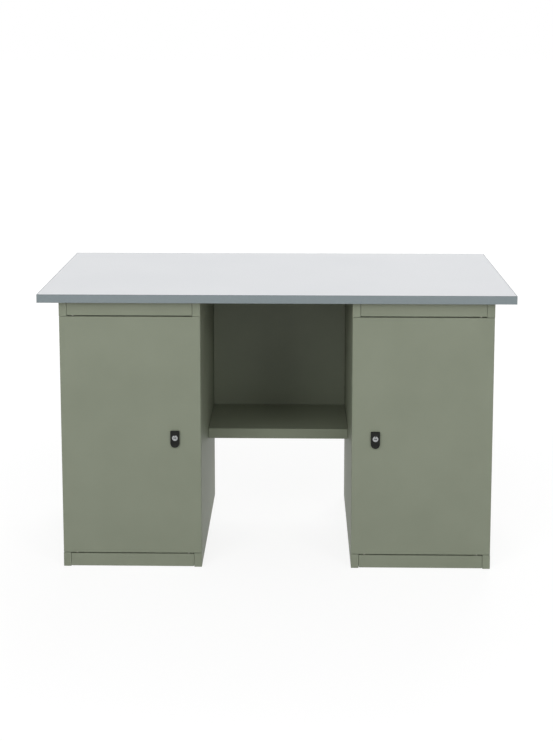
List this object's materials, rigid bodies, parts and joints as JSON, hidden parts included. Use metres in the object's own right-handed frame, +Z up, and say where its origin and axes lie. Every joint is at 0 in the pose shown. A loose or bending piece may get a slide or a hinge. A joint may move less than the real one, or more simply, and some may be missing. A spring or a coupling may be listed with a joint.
{
  "type": "double pedestal workbench",
  "caption": "Workbench with a laminated board top on lockable sheet-steel cupboards, with a low shelf and a back panel across the knee space.",
  "frame": {"origin": "on the floor under the middle of the worktop", "axes": "+X along the worktop's length to the right as seen from the front, -Y towards the front, where the doors are, +Z up"},
  "size_m": [1.5, 0.75, 0.9],
  "materials": {
    "worktop_laminate": "pale grey high-pressure laminate with a fine satin texture",
    "chipboard": "raw pressed wood chips",
    "edge_band": "mid-grey plastic edge strip, satin, with eased arrises",
    "powder_coat": "cement-grey satin powder coat with slight orange peel",
    "zinc": "bright zinc plating",
    "black_plastic": "moulded black plastic, fine texture",
    "nylon": "moulded white nylon"
  },
  "bodies": {
    "bench": {"worktop_laminate": "worktop_laminate", "worktop_core": "chipboard", "worktop_backer": "worktop_laminate", "edge_band_front": "edge_band", "edge_band_back": "edge_band", "edge_band_left": "edge_band", "edge_band_right": "edge_band", "knee_shelf": "powder_coat", "knee_back_panel": "powder_coat", "left_outer_side": "powder_coat", "left_inner_side": "powder_coat", "left_base": "powder_coat", "left_top_panel": "powder_coat", "left_top_rail": "powder_coat", "left_plinth": "powder_coat", "left_back": "powder_coat", "left_shelf": "powder_coat", "left_shelf_bearer_outer": "zinc", "left_shelf_bearer_inner": "zinc", "left_lower_hinge_pin": "zinc", "left_upper_hinge_pin": "zinc", "left_keeper": "zinc", "left_glide_low_outer": "nylon", "left_glide_low_inner": "nylon", "left_glide_high_outer": "nylon", "left_worktop_screw_outer": "zinc", "left_worktop_screw_inner": "zinc", "left_knee_shelf_bolt": "zinc", "right_outer_side": "powder_coat", "right_inner_side": "powder_coat", "right_base": "powder_coat", "right_top_panel": "powder_coat", "right_top_rail": "powder_coat", "right_plinth": "powder_coat", "right_back": "powder_coat", "right_shelf": "powder_coat", "right_shelf_bearer_outer": "zinc", "right_shelf_bearer_inner": "zinc", "right_lower_hinge_pin": "zinc", "right_upper_hinge_pin": "zinc", "right_keeper": "zinc", "right_glide_low_outer": "nylon", "right_glide_low_inner": "nylon", "right_glide_high_outer": "nylon", "right_worktop_screw_outer": "zinc", "right_worktop_screw_inner": "zinc", "right_knee_shelf_bolt": "zinc"},
    "left_door": {"left_door_skin": "powder_coat", "left_door_stiffener": "powder_coat", "left_lock_housing": "black_plastic", "left_lock_nut": "zinc"},
    "left_lock": {"left_lock_cylinder": "zinc", "left_lock_cam": "zinc"},
    "right_door": {"right_door_skin": "powder_coat", "right_door_stiffener": "powder_coat", "right_lock_housing": "black_plastic", "right_lock_nut": "zinc"},
    "right_lock": {"right_lock_cylinder": "zinc", "right_lock_cam": "zinc"}
  },
  "joints": [
    {"name": "left_door_hinge", "type": "hinge", "parent": "bench", "child": "left_door", "pos_m": [-0.679, -0.336, 0.0466], "axis": [0, 0, -1], "range_deg": [0, 110]},
    {"name": "right_door_hinge", "type": "hinge", "parent": "bench", "child": "right_door", "pos_m": [0.679, -0.336, 0.0466], "axis": [0, 0, 1], "range_deg": [0, 110]},
    {"name": "left_lock_turn", "type": "hinge", "parent": "left_door", "child": "left_lock", "pos_m": [-0.323, -0.345, 0.431], "axis": [0, -1, 0], "range_deg": [0, 90]},
    {"name": "right_lock_turn", "type": "hinge", "parent": "right_door", "child": "right_lock", "pos_m": [0.315, -0.345, 0.431], "axis": [0, 1, 0], "range_deg": [0, 90]}
  ]
}
